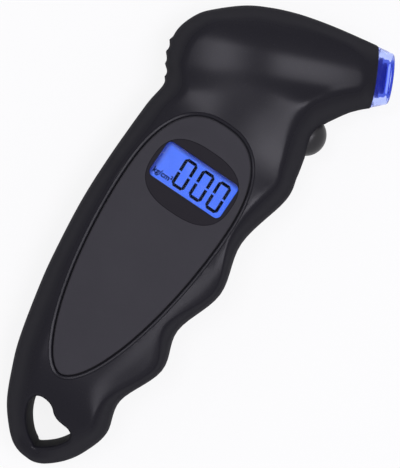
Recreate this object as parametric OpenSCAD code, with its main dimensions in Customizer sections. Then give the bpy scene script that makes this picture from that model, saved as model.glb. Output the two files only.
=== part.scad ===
// Digital tire pressure gauge, lying on its back.
// X runs along the reading on the display, Y from the tail to the head, Z out of the display.

/* [Face panel] */
// Width of the egg-shaped face panel
panel_w = 31.6; // [30:0.1:34]
// Length of the panel above its widest line
panel_up = 24.9; // [23:0.1:27]
// Length of the panel below its widest line
panel_down = 54.8; // [51:0.2:58]
// Offset of the panel from the grip's axis
panel_x = 0.2; // [-1:0.1:1]
// Thickness of the panel
panel_t = 1.5; // [1.2:0.1:2]
// Depth of the panel's face below the shell
panel_sink = 0.1; // [0:0.05:0.3]
// Open groove around the panel and around the lens
trim_gap = 0.3; // [0.1:0.05:0.5]

/* [Display] */
// Width of the oval lens
lens_w = 25.2; // [24:0.1:26.5]
// Height of the oval lens
lens_h = 19.6; // [18:0.1:21]
// Offset of the lens from the grip's axis
lens_x = 0.9; // [-1:0.1:1.5]
// Height of the lens centre above the panel's widest line
lens_y = 7.55; // [5:0.05:9]
// Width of the lit window
window_w = 22.9; // [20:0.1:24]
// Height of the lit window
window_h = 10.7; // [9:0.1:12]
// Height of the window's centre above the lens centre
window_rise = 0.8; // [0:0.1:1.5]
// Corner radius of the window
window_r = 1.2; // [0.5:0.1:2]
// Margin of the display glass around the window
glass_margin = 2; // [1.7:0.1:2.4]
// Thickness of the display glass
glass_t = 2.2; // [1.6:0.1:2.8]
// Thickness of the backlight
backlight_t = 1.4; // [1:0.1:2]
// Width of each contact strip under the glass
strip_w = 1.6; // [1:0.1:2]
// Wall of the frame that holds the glass
frame_wall = 0.8; // [0.6:0.1:1]

/* [Body] */
// Rim between the panel and the grip's edge at the widest line, as for a panel on the axis
rim_w = 6.6; // [5:0.05:8]
// Length from the panel's widest line down to the tail
grip_l = 81; // [78:0.5:88]
// Length from the panel's widest line up to the top of the head
head_l = 68; // [64:0.5:74]
// Side wall of the shells
wall = 2.2; // [1.8:0.1:2.6]
// Front wall behind the panel
roof_t = 1.6; // [1.2:0.1:2]
// Rear wall
floor_t = 2.2; // [1.8:0.1:2.6]
// Number of thumb ribs on the back of the head
rib_count = 4; // [2:1:6]
// Height of the thumb ribs
rib_h = 0.65; // [0.3:0.05:1]

/* [Keyring eye] */
// Width of the eye
eye_w = 14.5; // [12:0.1:15]
// Length of the eye
eye_h = 12.7; // [11:0.1:13]
// Height of the eye's middle above the tail
eye_up = 11.45; // [11:0.05:12]

/* [Nozzle] */
// Diameter of the shell at the nozzle's mouth
nozzle_d = 17.4; // [17:0.1:19]
// Angle of the nozzle above the display's line
nozzle_angle = 27; // [24:0.5:30]
// Length of the clear tip
tip_l = 4.8; // [4:0.1:6]
// Diameter of the tip's flat end
tip_end_d = 12.6; // [11.5:0.1:13.5]
// Diameter of the socket that takes the tire valve
socket_d = 8.6; // [8.2:0.1:9]
// Depth of the socket behind the tip's end
socket_l = 11.8; // [10:0.1:13]
// Wall of the barrel round the socket
barrel_wall = 1.3; // [1:0.1:1.5]
// Length of the barrel behind the nozzle's mouth
barrel_l = 24; // [22:0.5:26]
// Diameter of the valve pin
pin_d = 1.8; // [1.4:0.1:2.2]
// Length of the valve pin above the seal
pin_proud = 2.4; // [1.5:0.1:3]
// Thickness of the valve seal
seal_t = 2; // [1.5:0.1:3]
// Diameter of the two nozzle lights
led_d = 2; // [1.6:0.1:2.1]
// Length of the nozzle lights
led_l = 3; // [2.5:0.1:4]

/* [Air line] */
// Outside diameter of the air tube
tube_d = 4.4; // [4:0.1:5]
// Bore of the air tube
tube_bore = 2.7; // [2.4:0.1:3]
// Bend radius of the air tube
tube_bend = 8; // [7:0.5:9]
// Length of tube pushed over each spigot
tube_grip = 3.5; // [3:0.1:4]
// Width of the square sensor body
sensor_w = 9; // [8:0.1:10]
// Thickness of the sensor body
sensor_t = 3.4; // [3:0.1:4]

/* [Button] */
// Diameter of the round button
button_d = 11; // [10:0.1:11.4]
// Height of the button's dome above the shell
button_proud = 3.6; // [2.5:0.1:4]
// Travel of the button
button_travel = 0.8; // [0.4:0.1:1]
// Diameter of the button's inner flange
flange_d = 12.4; // [12:0.1:13]
// Thickness of the button's inner flange
flange_t = 1.2; // [1:0.1:1.5]
// Diameter of the switch plunger
plunger_d = 3.5; // [3:0.1:4]
// Width of the switch body
switch_w = 6; // [5.5:0.1:7]
// Depth of the switch body
switch_l = 4; // [3.6:0.1:4.4]

/* [Board] */
// Width of the circuit board
board_w = 30; // [29.5:0.1:30.4]
// Thickness of the circuit board
board_t = 1.2; // [1:0.1:1.6]
// Width of the board's tongue over the cells
tongue_w = 18; // [16:0.5:20]
// Width of the controller chip
chip_w = 9; // [7:0.5:10]

/* [Battery] */
// Diameter of a button cell
cell_d = 11.6; // [11.2:0.1:12]
// Height of a button cell
cell_h = 5.4; // [5:0.1:5.8]
// Number of button cells
cell_count = 3; // [2:1:3]
// Distance of the cells below the panel's widest line
cell_drop = 27; // [25:0.5:28]
// Diameter of the battery cap's face
cap_d = 17.2; // [17:0.1:18]
// Thickness of the cap's face
cap_t = 1.8; // [1.5:0.1:2.2]
// Depth of the cap's face below the rear wall
cap_sink = 0.4; // [0.2:0.1:0.8]
// Width of the coin slot
coin_w = 1.7; // [1.4:0.1:2.2]
// Turn that frees the cap, in degrees
cap_turn = 60; // [45:1:70]
// Height left for the spring contact on top of the cells
spring_h = 1.1; // [0.9:0.1:1.6]

/* [Screws] */
// Diameter of the case screws' threads
screw_d = 2.2; // [2:0.1:2.5]
// Diameter of the case screws' heads
screw_head_d = 4; // [3.6:0.1:4.2]
// Length of the case screws under the head
screw_l = 10; // [8:0.5:10.5]
// Depth of the case screws' heads below the rear wall
screw_sink = 6.5; // [5:0.5:8]
// Diameter of the board screws' heads
board_head_d = 3.4; // [3:0.1:3.8]
// Diameter of the board screws' threads
board_screw_d = 1.8; // [1.6:0.1:2]

/* [Clearances] */
// Radial clearance of sliding and turning pieces
run_gap = 0.1; // [0.05:0.01:0.15]
// Clearance of pieces that are laid in place
seat_gap = 0.1; // [0.05:0.01:0.2]

/* [Hidden] */
$fn = 48;

// Heights, added up from the back of the gauge to its face
contact_t = 0.4;
cap_in_z = cap_sink + cap_t;
cells_z = cap_in_z + contact_t + seat_gap;
cells_top = cells_z + cell_count * cell_h;
board_z = cells_top + spring_h;
board_top = board_z + board_t;
glass_z = board_top + backlight_t;
roof_z = glass_z + glass_t;
pocket_z = roof_z + roof_t;
body_t = pocket_z + panel_t + panel_sink;
half_t = body_t / 2;
cut_over = 1;

// Outline rows, drawn for a body of these sizes and stretched to the sizes above.
// A row joins a point of the back edge to a point of the finger edge, and holds
// back x, back y, finger x, finger y, share of the half thickness, share of the width that is flat.
drawn_half_w = 22.4;
drawn_grip_l = 81;
drawn_head_l = 68;
drawn_mouth = [26.1, 60.3];
drawn_rows = [
    [2.9, -80.7, 7.1, -81, 0.2, 0.2],        // tail end
    [-0.7, -79.2, 10.6, -79.4, 0.42, 0.3],
    [-4.4, -75.8, 14.8, -75.5, 0.56, 0.34],
    [-8.4, -70.5, 17.8, -70.5, 0.76, 0.38],  // keyring eye
    [-11.9, -63, 19.9, -63, 0.93, 0.42],     // fourth finger crest
    [-15, -54.5, 18, -53.4, 1, 0.46],        // third finger groove
    [-18.4, -40, 22.9, -40, 1, 0.6],         // third finger crest
    [-20.2, -29.5, 20.35, -28.4, 1, 0.7],    // second finger groove
    [-22, -13.5, 24.5, -13.5, 1, 0.78],      // second finger crest
    [-22.4, 1.5, 21.5, 1.5, 1, 0.82],        // first finger groove
    [-22, 18.5, 24.95, 18, 1, 0.8],          // first finger crest
    [-21.3, 27, 24, 25.3, 1, 0.74],          // neck, start of the thumb ribs
    [-25, 33.5, 22.75, 30.9, 1, 0.66],
    [-26.5, 40.5, 21.6, 36.4, 0.985, 0.58],  // button
    [-24.4, 47, 21.7, 40.5, 0.97, 0.52],
    [-20.6, 51.5, 22.5, 42.6, 0.95, 0.46],
    [-14.4, 56.8, 23.6, 44.5, 0.92, 0.4],    // top of the head
    [-8.2, 60.2, 24.8, 46.5, 0.88, 0.33],
    [-1.9, 62.7, 26, 48.3, 0.83, 0.26],
    [4.4, 64.5, 27.1, 49.6, 0.78, 0.18],
    [10.6, 65.9, 28.1, 50.7, 0.72, 0.1],
    [16.9, 67.1, 29, 51.6, 0.66, 0.04]
];
button_row = 13;
rib_from = 10.9;
rib_to = 12.76;
cavity_from = 5.23;
cavity_to = 18.57;
row_steps = 3;
rib_steps = 7;
least_flat = 0.15;
half_w = panel_w / 2 + rim_w;

function stretch_x(x) = x * half_w / drawn_half_w;
function stretch_y(y) = y < 0 ? y * grip_l / drawn_grip_l : y * head_l / drawn_head_l;

// Nozzle line, from the mouth inward
nozzle_r = nozzle_d / 2;
nozzle_dir = [cos(nozzle_angle), sin(nozzle_angle)];
nozzle_side = [-sin(nozzle_angle), cos(nozzle_angle)];
mouth = [stretch_x(drawn_mouth.x), stretch_y(drawn_mouth.y)];
mouth_back = mouth + nozzle_r * nozzle_side;
mouth_under = mouth - nozzle_r * nozzle_side;

rows = concat(
    [for (r = drawn_rows) [stretch_x(r[0]), stretch_y(r[1]), stretch_x(r[2]), stretch_y(r[3]), r[4], r[5]]],
    [[mouth_back.x, mouth_back.y, mouth_under.x, mouth_under.y, nozzle_r / half_t, 0]]
);
last_row = len(rows) - 1;

// Smooth curve through a list of points or rows, at place t counted in list steps
function smooth(list, t) =
    let (
        k = min(floor(t), len(list) - 2),
        f = t - k,
        a = list[max(k - 1, 0)],
        b = list[k],
        c = list[k + 1],
        d = list[min(k + 2, len(list) - 1)]
    )
    b + f / 2 * ((c - a) + f * ((2 * a - 5 * b + 4 * c - d) + f * (3 * (b - c) + d - a)));

// Height of the thumb ribs along the back edge
function rib_at(t) =
    t <= rib_from || t >= rib_to ? 0
    : rib_h * (1 - cos(360 * rib_count * (t - rib_from) / (rib_to - rib_from))) / 2;

// Places of the cross-sections, closer together over the ribs
rib_start = floor(rib_from);
rib_end = ceil(rib_to);
rib_places = rib_count * rib_steps;
body_places = concat(
    [for (i = [0:rib_start * row_steps]) i / row_steps],
    [for (i = [1:rib_places - 1]) rib_start + (rib_end - rib_start) * i / rib_places],
    [for (i = [rib_end * row_steps:last_row * row_steps]) i / row_steps]
);
cavity_steps = 31;
cavity_places = [for (i = [0:cavity_steps]) cavity_from + (cavity_to - cavity_from) * i / cavity_steps];

// Half cross-section at place t: from the finger edge over the flat face to the back edge.
// inset and skin draw it in from the sides and from the face, lip carries it past the parting plane.
function half_section(t, face, inset, skin, lip, steps) =
    let (
        r = smooth(rows, t),
        back = [r[0], r[1]],
        finger = [r[2], r[3]],
        across = (finger - back) / norm(finger - back),
        middle = (finger + back) / 2,
        half = norm(finger - back) / 2 - inset,
        rise = min(r[4], 1) * half_t - skin,
        flat = max(half * r[5], least_flat),
        rib = inset > 0 ? 0 : rib_at(t),
        turns = [for (i = [0:steps]) 90 * i / steps],
        finger_side = [for (a = turns) let (p = middle + across * (flat + (half - flat) * cos(a)))
            [p.x, p.y, half_t + face * (a == 0 ? -lip : rise * sin(a))]],
        back_side = [for (i = [steps:-1:0]) let (
                a = turns[i],
                p = middle - across * (flat + (half - flat) * cos(a) + rib * pow(cos(a), 2))
            )
            [p.x, p.y, half_t + face * (a == 0 ? -lip : rise * sin(a))]]
    )
    concat(finger_side, back_side);

function turned(list, face) = face > 0 ? list : [for (i = [len(list) - 1:-1:0]) list[i]];

// Solid through a list of rings with the same number of points each
module ring_solid(rings, face) {
    n = len(rings[0]);
    last = len(rings) - 1;
    sides = [for (i = [0:last - 1], j = [0:n - 1]) let (
            a = i * n + j,
            b = i * n + (j + 1) % n,
            c = b + n,
            d = a + n
        )
        each [[a, b, c], [a, c, d]]];
    start_cap = [for (j = [n - 1:-1:0]) j];
    end_cap = [for (j = [0:n - 1]) last * n + j];
    polyhedron([for (r = rings) each r], [for (f = concat(sides, [start_cap, end_cap])) turned(f, face)]);
}

// Round rings along a path that never runs straight up
function round_rings(path, r, sides) =
    let (n = len(path) - 1)
    [for (i = [0:n]) let (
            before = path[i] - path[max(i - 1, 0)],
            after = path[min(i + 1, n)] - path[i],
            way = (i == 0 ? [0, 0, 0] : before / norm(before)) + (i == n ? [0, 0, 0] : after / norm(after)),
            along = way / norm(way),
            flat = cross(along, [0, 0, 1]),
            side = flat / norm(flat),
            up = cross(side, along)
        )
        [for (j = [0:sides - 1]) let (a = 360 * j / sides) path[i] + r * (side * cos(a) + up * sin(a))]];

outer_steps = 6;
cavity_turns = 4;
module outer_half(face) {
    ring_solid([for (t = body_places) half_section(t, face, 0, 0, 0, outer_steps)], face);
}
module cavity_half(face, skin) {
    ring_solid([for (t = cavity_places) half_section(t, face, wall, skin, cut_over, cavity_turns)], face);
}

// Egg outline: rounder above its widest line than below
egg_up_power = 2.5;
egg_down_power = 1.79;
lens_power = 2.6;
outline_steps = 72;
function power_point(a, w, h, n) =
    [w * sign(cos(a)) * pow(abs(cos(a)), 2 / n), h * sign(sin(a)) * pow(abs(sin(a)), 2 / n)];
function egg_points(grow) = [for (i = [0:outline_steps - 1]) let (a = 360 * i / outline_steps)
    [panel_x, 0] + (a < 180 ? power_point(a, panel_w / 2 + grow, panel_up + grow, egg_up_power)
    : power_point(a, panel_w / 2 + grow, panel_down + grow, egg_down_power))];
function lens_points(grow) = [for (i = [0:outline_steps - 1]) let (a = 360 * i / outline_steps)
    [lens_x, lens_y] + power_point(a, lens_w / 2 + grow, lens_h / 2 + grow, lens_power)];

module prism(points, low, high) {
    translate([0, 0, low]) linear_extrude(high - low) polygon(points);
}
module block(centre, size, low, high) {
    translate([centre.x - size.x / 2, centre.y - size.y / 2, low]) cube([size.x, size.y, high - low]);
}
module disc(centre, r, low, high) {
    translate([centre.x, centre.y, low]) cylinder(r = r, h = high - low);
}
module rounded_block(centre, size, r, low, high) {
    block(centre, [size.x, size.y - 2 * r], low, high);
    block(centre, [size.x - 2 * r, size.y], low, high);
    for (sx = [-1, 1], sy = [-1, 1])
        disc([centre.x + sx * (size.x / 2 - r), centre.y + sy * (size.y / 2 - r)], r, low, high);
}

// Origin: under the middle of the outline, on the surface that the gauge lies on
tip_step = 0.2;
tip_root_d = nozzle_d - 2 * tip_step;
tip_round = 1.6;
tip_ease = 1.2;
tip_round_steps = 5;
tip_curve = [for (i = [0:tip_round_steps]) let (a = 90 * i / tip_round_steps)
    [tip_end_d / 2 + tip_ease * cos(a), tip_l - tip_round + tip_round * sin(a)]];
left_end = min([for (t = body_places) smooth(rows, t)[0] - rib_at(t)]);
right_end = max([for (p = tip_curve) mouth.x + p[1] * nozzle_dir.x + p[0] * nozzle_dir.y]);
tail_end = min([for (t = body_places) smooth(rows, t)[3]]);
head_end = max([for (p = tip_curve) mouth.y + p[1] * nozzle_dir.y + p[0] * nozzle_dir.x]);
middle_x = (left_end + right_end) / 2;
middle_y = (tail_end + head_end) / 2;
module placed() {
    translate([-middle_x, -middle_y, 0]) children();
}

// Nozzle frame: local Z runs out of the mouth
module at_nozzle() {
    translate([mouth.x, mouth.y, half_t]) rotate([0, 0, nozzle_angle]) rotate([0, 90, 0]) children();
}
module nozzle_disc(r, low, high) {
    translate([0, 0, low]) cylinder(r = r, h = high - low);
}

// Screw posts: beside the board's head end and below the cells
head_t = 1.6;
post_wall = 1.2;
post_r = screw_head_d / 2 + post_wall;
post_gap = 0.4;
screw_gap = 0.15;
tip_room = 1;
screw_top = screw_sink + head_t + screw_l;
button_x = rows[button_row][2];
button_y = rows[button_row][3];
switch_margin = 1;
board_end = button_y + switch_w / 2 + switch_margin;
cell_at = [0, -cell_drop];
well_wall = 1.4;
well_r = cell_d / 2 + run_gap * 2;
head_post_x = -13;
post_margin = 1;
head_post_y = board_end + post_r + post_margin;
side_post_y = 23.5;
low_post_left = -8.5;
low_post_right = 11.5;
low_post_gap = 5.5;
low_post_y = -(cell_drop + well_r + well_wall + low_post_gap + 2 * post_r);
post_points = [[head_post_x, head_post_y], [board_w / 2, side_post_y],
    [low_post_left, low_post_y], [low_post_right, low_post_y]];

// Board outline: a wide part under the display, and a tongue over the cells
tongue_margin = 2;
tongue_neck = 3;
tongue_end = -cell_drop - cell_d / 2 - tongue_margin;
tongue_start = -cell_drop + cell_d / 2 + tongue_neck;
shoulder_y = tongue_start + (board_w - tongue_w) / 2;

// Board screws and the bosses that they enter
board_post_wall = 1.2;
board_post_r = board_screw_d / 2 + board_post_wall;
board_head_t = 1.2;
board_margin = 0.4;
board_edge = board_post_r + board_margin;
board_hole_drop = 9.9;
board_points = [for (sx = [-1, 1], y = [shoulder_y, board_end - board_hole_drop])
    [sx * (board_w / 2 - board_edge), y]];

// Bayonet of the battery cap
cap_r = cap_d / 2;
cap_gap = 0.15;
ring_gap = 0.7;
ledge_z = cap_in_z + ring_gap;
ledge_t = 1;
neck_wall = 0.9;
neck_r = well_r + neck_wall;
lug_out = 1.3;
lug_t = 1;
lug_z = ledge_z + ledge_t + run_gap;
lug_angle = 40;
lug_ease = 6;
lug_room_z = lug_z + lug_t + run_gap * 2;
ledge_r = neck_r + run_gap;
lug_room_r = neck_r + lug_out + run_gap * 2;
cap_boss_wall = 1.8;
cap_boss_r = cap_r + cap_boss_wall;
well_lid_t = 1.2;

// Keyring eye: a lopsided heart, drawn at this size about its middle and stretched to the sizes above
eye_x = 4.75;
drawn_eye = [14.5, 12.7];
eye_marks = [
    [0.95, -6.35], [4.35, -3.85], [6.45, -1.25],     // point and lower side
    [7.25, 0.65], [6.85, 2.15], [5.55, 2.95],        // finger side's lobe
    [3.85, 3.15], [1.85, 3.45], [0.15, 4.25],        // dip between the lobes
    [-1.15, 5.45], [-2.85, 6.25], [-5.35, 6.35],     // back side's lobe
    [-6.95, 5.25], [-7.25, 2.95], [-6.25, 0.15],
    [-4.65, -2.35], [-2.35, -4.65], [-0.25, -5.95]
];
eye_steps = 3;
eye_loop = concat([eye_marks[len(eye_marks) - 1]], eye_marks, [eye_marks[0], eye_marks[1]]);
eye_points = [for (i = [0:len(eye_marks) * eye_steps - 1]) let (p = smooth(eye_loop, 1 + i / eye_steps))
    [eye_x + p.x * eye_w / drawn_eye.x, -grip_l + eye_up + p.y * eye_h / drawn_eye.y]];
module eye_cut() {
    prism(eye_points, -cut_over, body_t + cut_over);
}

// Button line: local Z runs out of the shell along X
button_wall = 1.6;
button_gap = 0.15;
button_seat = button_x - button_wall;
flange_out = button_seat - seat_gap;
flange_in = flange_out - flange_t;
flange_room = 0.4;
switch_set = 0.5;
switch_face = board_w / 2 - switch_set;
plunger_out = 2.1;
plunger_in = 2.2;
stem_end = switch_face + plunger_out + seat_gap;
stem_wall = 0.3;
stem_r = plunger_d / 2 + stem_wall;
dome_sink = 0.3;
dome_base = button_x - dome_sink;
dome_h = button_x + button_proud - dome_base;
dome_r = (pow(button_d / 2, 2) + dome_h * dome_h) / (2 * dome_h);
module button_disc(r, low, high) {
    translate([low, button_y, half_t]) rotate([0, 90, 0]) cylinder(r = r, h = high - low);
}

// Nozzle pieces, measured along the nozzle from its mouth
barrel_r = socket_d / 2 + barrel_wall;
barrel_nose = tip_l / 2;
socket_end = tip_l - socket_l;
seal_end = socket_end + seal_t;
pin_end = seal_end + pin_proud;
pin_root = 2;
socket_ease = 0.35;
socket_r = socket_d / 2;
seal_seat_r = socket_r + socket_ease;
collar_out = 0.7;
collar_r = barrel_r + collar_out;
collar_t = 1.5;
collar_back = 2;
collar_s = socket_end - collar_back;
spigot_r = tube_bore / 2 - seat_gap / 2;
air_r = 0.7;
led_angle = 35;
led_wall = 0.4;
led_ring = barrel_r + seat_gap + led_d / 2 + led_wall;
led_sink = 0.2;
led_gap = 0.05;
led_run = 15;
module led_line(hand, r, low, high) {
    rotate([0, 0, 180 + hand * led_angle]) translate([led_ring, 0, low]) cylinder(r = r, h = high - low);
}
module nozzle_cuts() {
    at_nozzle() {
        nozzle_disc(barrel_r + seat_gap / 2, -barrel_l, cut_over);
        nozzle_disc(collar_r + seat_gap, collar_s - seat_gap, collar_s + collar_t + seat_gap);
    }
}
module button_cuts() {
    button_disc(button_d / 2 + button_gap, button_seat - cut_over, button_x + button_proud + cut_over);
    button_disc(flange_d / 2 + flange_room, flange_in - button_travel - flange_room, button_seat);
}

function grown(size, by) = [size.x + 2 * by, size.y + 2 * by];
window_at = [lens_x, lens_y + window_rise];
window_size = [window_w, window_h];
glass_size = grown(window_size, glass_margin);
window_ease = 0.4;
window_cut = grown(window_size, window_ease);

module front_shell() color("#2a292d") placed() difference() {
    union() {
        difference() {
            outer_half(1);
            cavity_half(1, body_t - roof_z);
        }
        for (p = post_points) disc(p, post_r, half_t, roof_z + seat_gap);
        for (p = board_points) disc(p, board_post_r, board_top, roof_z + seat_gap);
    }
    prism(egg_points(trim_gap), pocket_z, body_t + cut_over);
    rounded_block(window_at, window_cut, window_r, roof_z - cut_over, pocket_z + cut_over);
    for (p = post_points) disc(p, screw_d / 2, half_t - cut_over, screw_top + tip_room);
    for (p = board_points) disc(p, board_screw_d / 2, board_top - cut_over, roof_z);
    eye_cut();
    button_cuts();
    nozzle_cuts();
    at_nozzle() for (hand = [-1, 1]) led_line(hand, led_d / 2 + led_gap, -led_run, cut_over);
}

// Quarter-turn slots and room of the bayonet, cut from the rear shell
module lug(hand, r, ease, low, high) {
    translate([cell_at.x, cell_at.y, low]) rotate([0, 0, hand * 180 - lug_angle / 2 - ease])
        rotate_extrude(angle = lug_angle + 2 * ease) square([r, high - low]);
}
module bayonet_cuts() {
    disc(cell_at, cap_r + cap_gap, -cut_over, ledge_z);
    disc(cell_at, ledge_r, -cut_over, ledge_z + ledge_t + cut_over);
    disc(cell_at, lug_room_r, ledge_z + ledge_t, lug_room_z);
    disc(cell_at, well_r, -cut_over, body_t);
    rotate_about(cell_at, cap_turn)
        for (hand = [0, 1]) lug(hand, neck_r + lug_out + run_gap, lug_ease, cap_in_z, lug_z);
}
module rotate_about(centre, angle) {
    translate([centre.x, centre.y, 0]) rotate([0, 0, angle])
        translate([-centre.x, -centre.y, 0]) children();
}

module rear_shell() color("#2a292d") placed() difference() {
    union() {
        difference() {
            outer_half(-1);
            cavity_half(-1, floor_t);
        }
        for (p = post_points) disc(p, post_r, floor_t - seat_gap, half_t);
        disc(cell_at, cap_boss_r, floor_t - seat_gap, lug_room_z + well_lid_t);
        disc(cell_at, well_r + well_wall, lug_room_z, half_t);
    }
    bayonet_cuts();
    for (p = post_points) {
        disc(p, screw_head_d / 2 + screw_gap, -cut_over, screw_sink + head_t);
        disc(p, screw_d / 2 + screw_gap, screw_sink, half_t + cut_over);
    }
    eye_cut();
    button_cuts();
    nozzle_cuts();
}

module face_panel() color("#414045") placed() difference() {
    prism(egg_points(0), pocket_z, pocket_z + panel_t);
    prism(lens_points(trim_gap), pocket_z - cut_over, pocket_z + panel_t + cut_over);
}

module display_lens() color("#2f2e31") placed() prism(lens_points(0), pocket_z, pocket_z + panel_t);

module lcd_glass() color("#4a78f8") placed() block(window_at, glass_size, glass_z, roof_z);

frame_in = grown(glass_size, seat_gap);
frame_out = grown(frame_in, frame_wall);
module lcd_frame() color("#d8d8d4") placed() difference() {
    block(window_at, frame_out, board_top, roof_z);
    block(window_at, frame_in, board_top - cut_over, roof_z + cut_over);
}

backlight_size = [glass_size.x, glass_size.y - 2 * (strip_w + seat_gap)];
module backlight() color("#e4f0ff") placed() block(window_at, backlight_size, board_top, glass_z);

strip_inset = 1;
strip_size = [glass_size.x - 2 * strip_inset, strip_w];
strip_shift = [0, (glass_size.y - strip_w) / 2];
module zebra_strips() color("#3b3b3d") placed() for (hand = [-1, 1])
    block(window_at + hand * strip_shift, strip_size, board_top, glass_z);

module main_board() color("#1f6b3c") placed() difference() {
    prism([[-tongue_w / 2, tongue_end], [tongue_w / 2, tongue_end], [tongue_w / 2, tongue_start],
        [board_w / 2, shoulder_y], [board_w / 2, board_end], [-board_w / 2, board_end],
        [-board_w / 2, shoulder_y], [-tongue_w / 2, tongue_start]], board_z, board_top);
    for (p = board_points) disc(p, board_screw_d / 2 + screw_gap, board_z - cut_over, board_top + cut_over);
    for (p = post_points) disc(p, post_r + post_gap, board_z - cut_over, board_top + cut_over);
}

chip_at = [-2, 4];
chip_t = 1.5;
module controller_chip() color("#18181a") placed()
    block(chip_at, [chip_w, chip_w], board_z - chip_t, board_z);

// Capacitors and resistors in two rows under the board, and a crystal can
small_size = [1.6, 0.9];
small_t = 0.7;
small_count = 6;
small_pitch = 3;
small_from = -8;
small_gap = 3;
crystal_at = [8, 4];
crystal_size = [2.4, 6];
crystal_t = 2;
module board_parts() color("#b59a6a") placed() {
    for (i = [0:small_count - 1], row = [-1, 1])
        block([small_from + small_pitch * i, chip_at.y + row * (chip_w / 2 + small_gap)], small_size,
            board_z - small_t, board_z);
    rounded_block(crystal_at, crystal_size, small_t, board_z - crystal_t, board_z);
}

// Air line: spigot, bend and sensor port lie in the parting plane
tube_free = 0.5;
bend_start = mouth - nozzle_dir * (barrel_l + tube_grip + tube_free);
bend_centre = bend_start - nozzle_side * tube_bend;
bend_turn = 90 - nozzle_angle;
port_x = bend_centre.x - tube_bend;
port_end = bend_centre.y - tube_free;
port_margin = 1;
sensor_at = [port_x, port_end - tube_grip - tube_d / 2 - port_margin];
sensor_shift = [0, sensor_w / 4];
port_r = 2.4;
port_drop = 3;
port_low = half_t - port_drop;
module pressure_sensor() color("#d9d4c6") placed() {
    block(sensor_at - sensor_shift, [sensor_w, sensor_w], board_z - sensor_t, board_z);
    disc(sensor_at, port_r, port_low, board_z - sensor_t);
    translate([port_x, sensor_at.y, half_t]) rotate([-90, 0, 0]) difference() {
        cylinder(r = spigot_r, h = port_end - sensor_at.y);
        translate([0, 0, port_r]) cylinder(r = air_r, h = port_end);
    }
}

tube_sides = 16;
bend_steps = 8;
function tube_path(over) =
    let (
        first = bend_start + nozzle_dir * (tube_grip + tube_free - seat_gap + over),
        bend = [for (i = [0:bend_steps]) let (a = 90 + nozzle_angle + bend_turn * i / bend_steps)
            bend_centre + tube_bend * [cos(a), sin(a)]],
        last = [port_x, bend_centre.y - tube_grip - tube_free - over]
    )
    [for (p = concat([first], bend, [last])) [p.x, p.y, half_t]];
module air_tube() color("#cfd2d4") placed() difference() {
    ring_solid(round_rings(tube_path(0), tube_d / 2, tube_sides), 1);
    ring_solid(round_rings(tube_path(cut_over), tube_bore / 2 / cos(180 / tube_sides), tube_sides), 1);
}

module nozzle_barrel() color("#232327") placed() at_nozzle() difference() {
    union() {
        nozzle_disc(barrel_r, -barrel_l, barrel_nose);
        nozzle_disc(collar_r, collar_s, collar_s + collar_t);
        nozzle_disc(spigot_r, -barrel_l - tube_grip, -barrel_l);
    }
    nozzle_disc(seal_seat_r, socket_end, tip_l);
    nozzle_disc(pin_d / 2, pin_start, socket_end + cut_over);
    nozzle_disc(air_r, -barrel_l - tube_grip - cut_over, pin_start + cut_over);
}

module nozzle_tip() color("#5a62f0") placed() at_nozzle() rotate_extrude() polygon(concat(
    [[barrel_r + seat_gap, 0], [tip_root_d / 2, 0]],
    tip_curve,
    [[socket_r, tip_l], [socket_r, barrel_nose + seat_gap], [barrel_r + seat_gap, barrel_nose + seat_gap]]
));

module valve_seal() color("#141416") placed() at_nozzle() difference() {
    nozzle_disc(seal_seat_r - seat_gap / 2, socket_end, seal_end);
    nozzle_disc(pin_d / 2 + 2 * seat_gap, socket_end - cut_over, seal_end + cut_over);
}

// The pin has an air groove along each side
groove_w = 0.5;
pin_start = socket_end - pin_root;
module depressor_pin() color("#c9b27a") placed() at_nozzle() difference() {
    nozzle_disc(pin_d / 2, pin_start, pin_end);
    for (hand = [-1, 1])
        block([hand * pin_d / 2, 0], [groove_w, groove_w], pin_start - cut_over, pin_end - cut_over);
}

led_back = -led_sink - led_l;
module nozzle_leds() color("#9fb4ff") placed() at_nozzle() for (hand = [-1, 1]) {
    led_line(hand, led_d / 2, led_back, -led_sink - led_d / 2);
    rotate([0, 0, 180 + hand * led_angle])
        translate([led_ring, 0, -led_sink - led_d / 2]) sphere(d = led_d);
}

// Wires from the nozzle lights to the head end of the board
wire_r = 0.45;
wire_sides = 8;
wire_steps = 4;
wire_pads = [5, 9];
pad_drop = 3;
wire_straight = 9;
wire_lead = [0.4, 6.5, 0.6];
wire_land = [0, 2.5, 0];
function wire_points(i) =
    let (
        hand = i == 0 ? 1 : -1,
        side = nozzle_side * led_ring * sin(led_angle) * hand,
        rise = led_ring * cos(led_angle),
        start = [mouth.x + side.x, mouth.y + side.y, half_t + rise],
        in = [nozzle_dir.x, nozzle_dir.y, 0],
        pad = [wire_pads[i], board_end - pad_drop, board_top + wire_r]
    )
    [start + in * led_back, start - in * wire_straight, start - in * led_run,
        pad + wire_lead, pad + wire_land, pad];
function wire_path(points) =
    [for (i = [0:(len(points) - 1) * wire_steps]) smooth(points, i / wire_steps)];
module led_wires() color("#8a1f24") placed() for (i = [0, 1])
    ring_solid(round_rings(wire_path(wire_points(i)), wire_r, wire_sides), 1);

dome_steps = 10;
dome_span = asin(button_d / 2 / dome_r);
dome_curve = [for (i = [0:dome_steps - 1]) let (a = dome_span * (1 - i / dome_steps))
    [dome_r * sin(a), dome_base + dome_h - dome_r * (1 - cos(a))]];
module trigger_button() color("#26252a") placed() translate([0, button_y, half_t]) rotate([0, 90, 0])
    rotate_extrude() polygon(concat(
        [[0, stem_end], [stem_r, stem_end], [stem_r, flange_in], [flange_d / 2, flange_in],
        [flange_d / 2, flange_out], [button_d / 2, flange_out]],
        dome_curve,
        [[0, dome_base + dome_h]]
    ));

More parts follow.
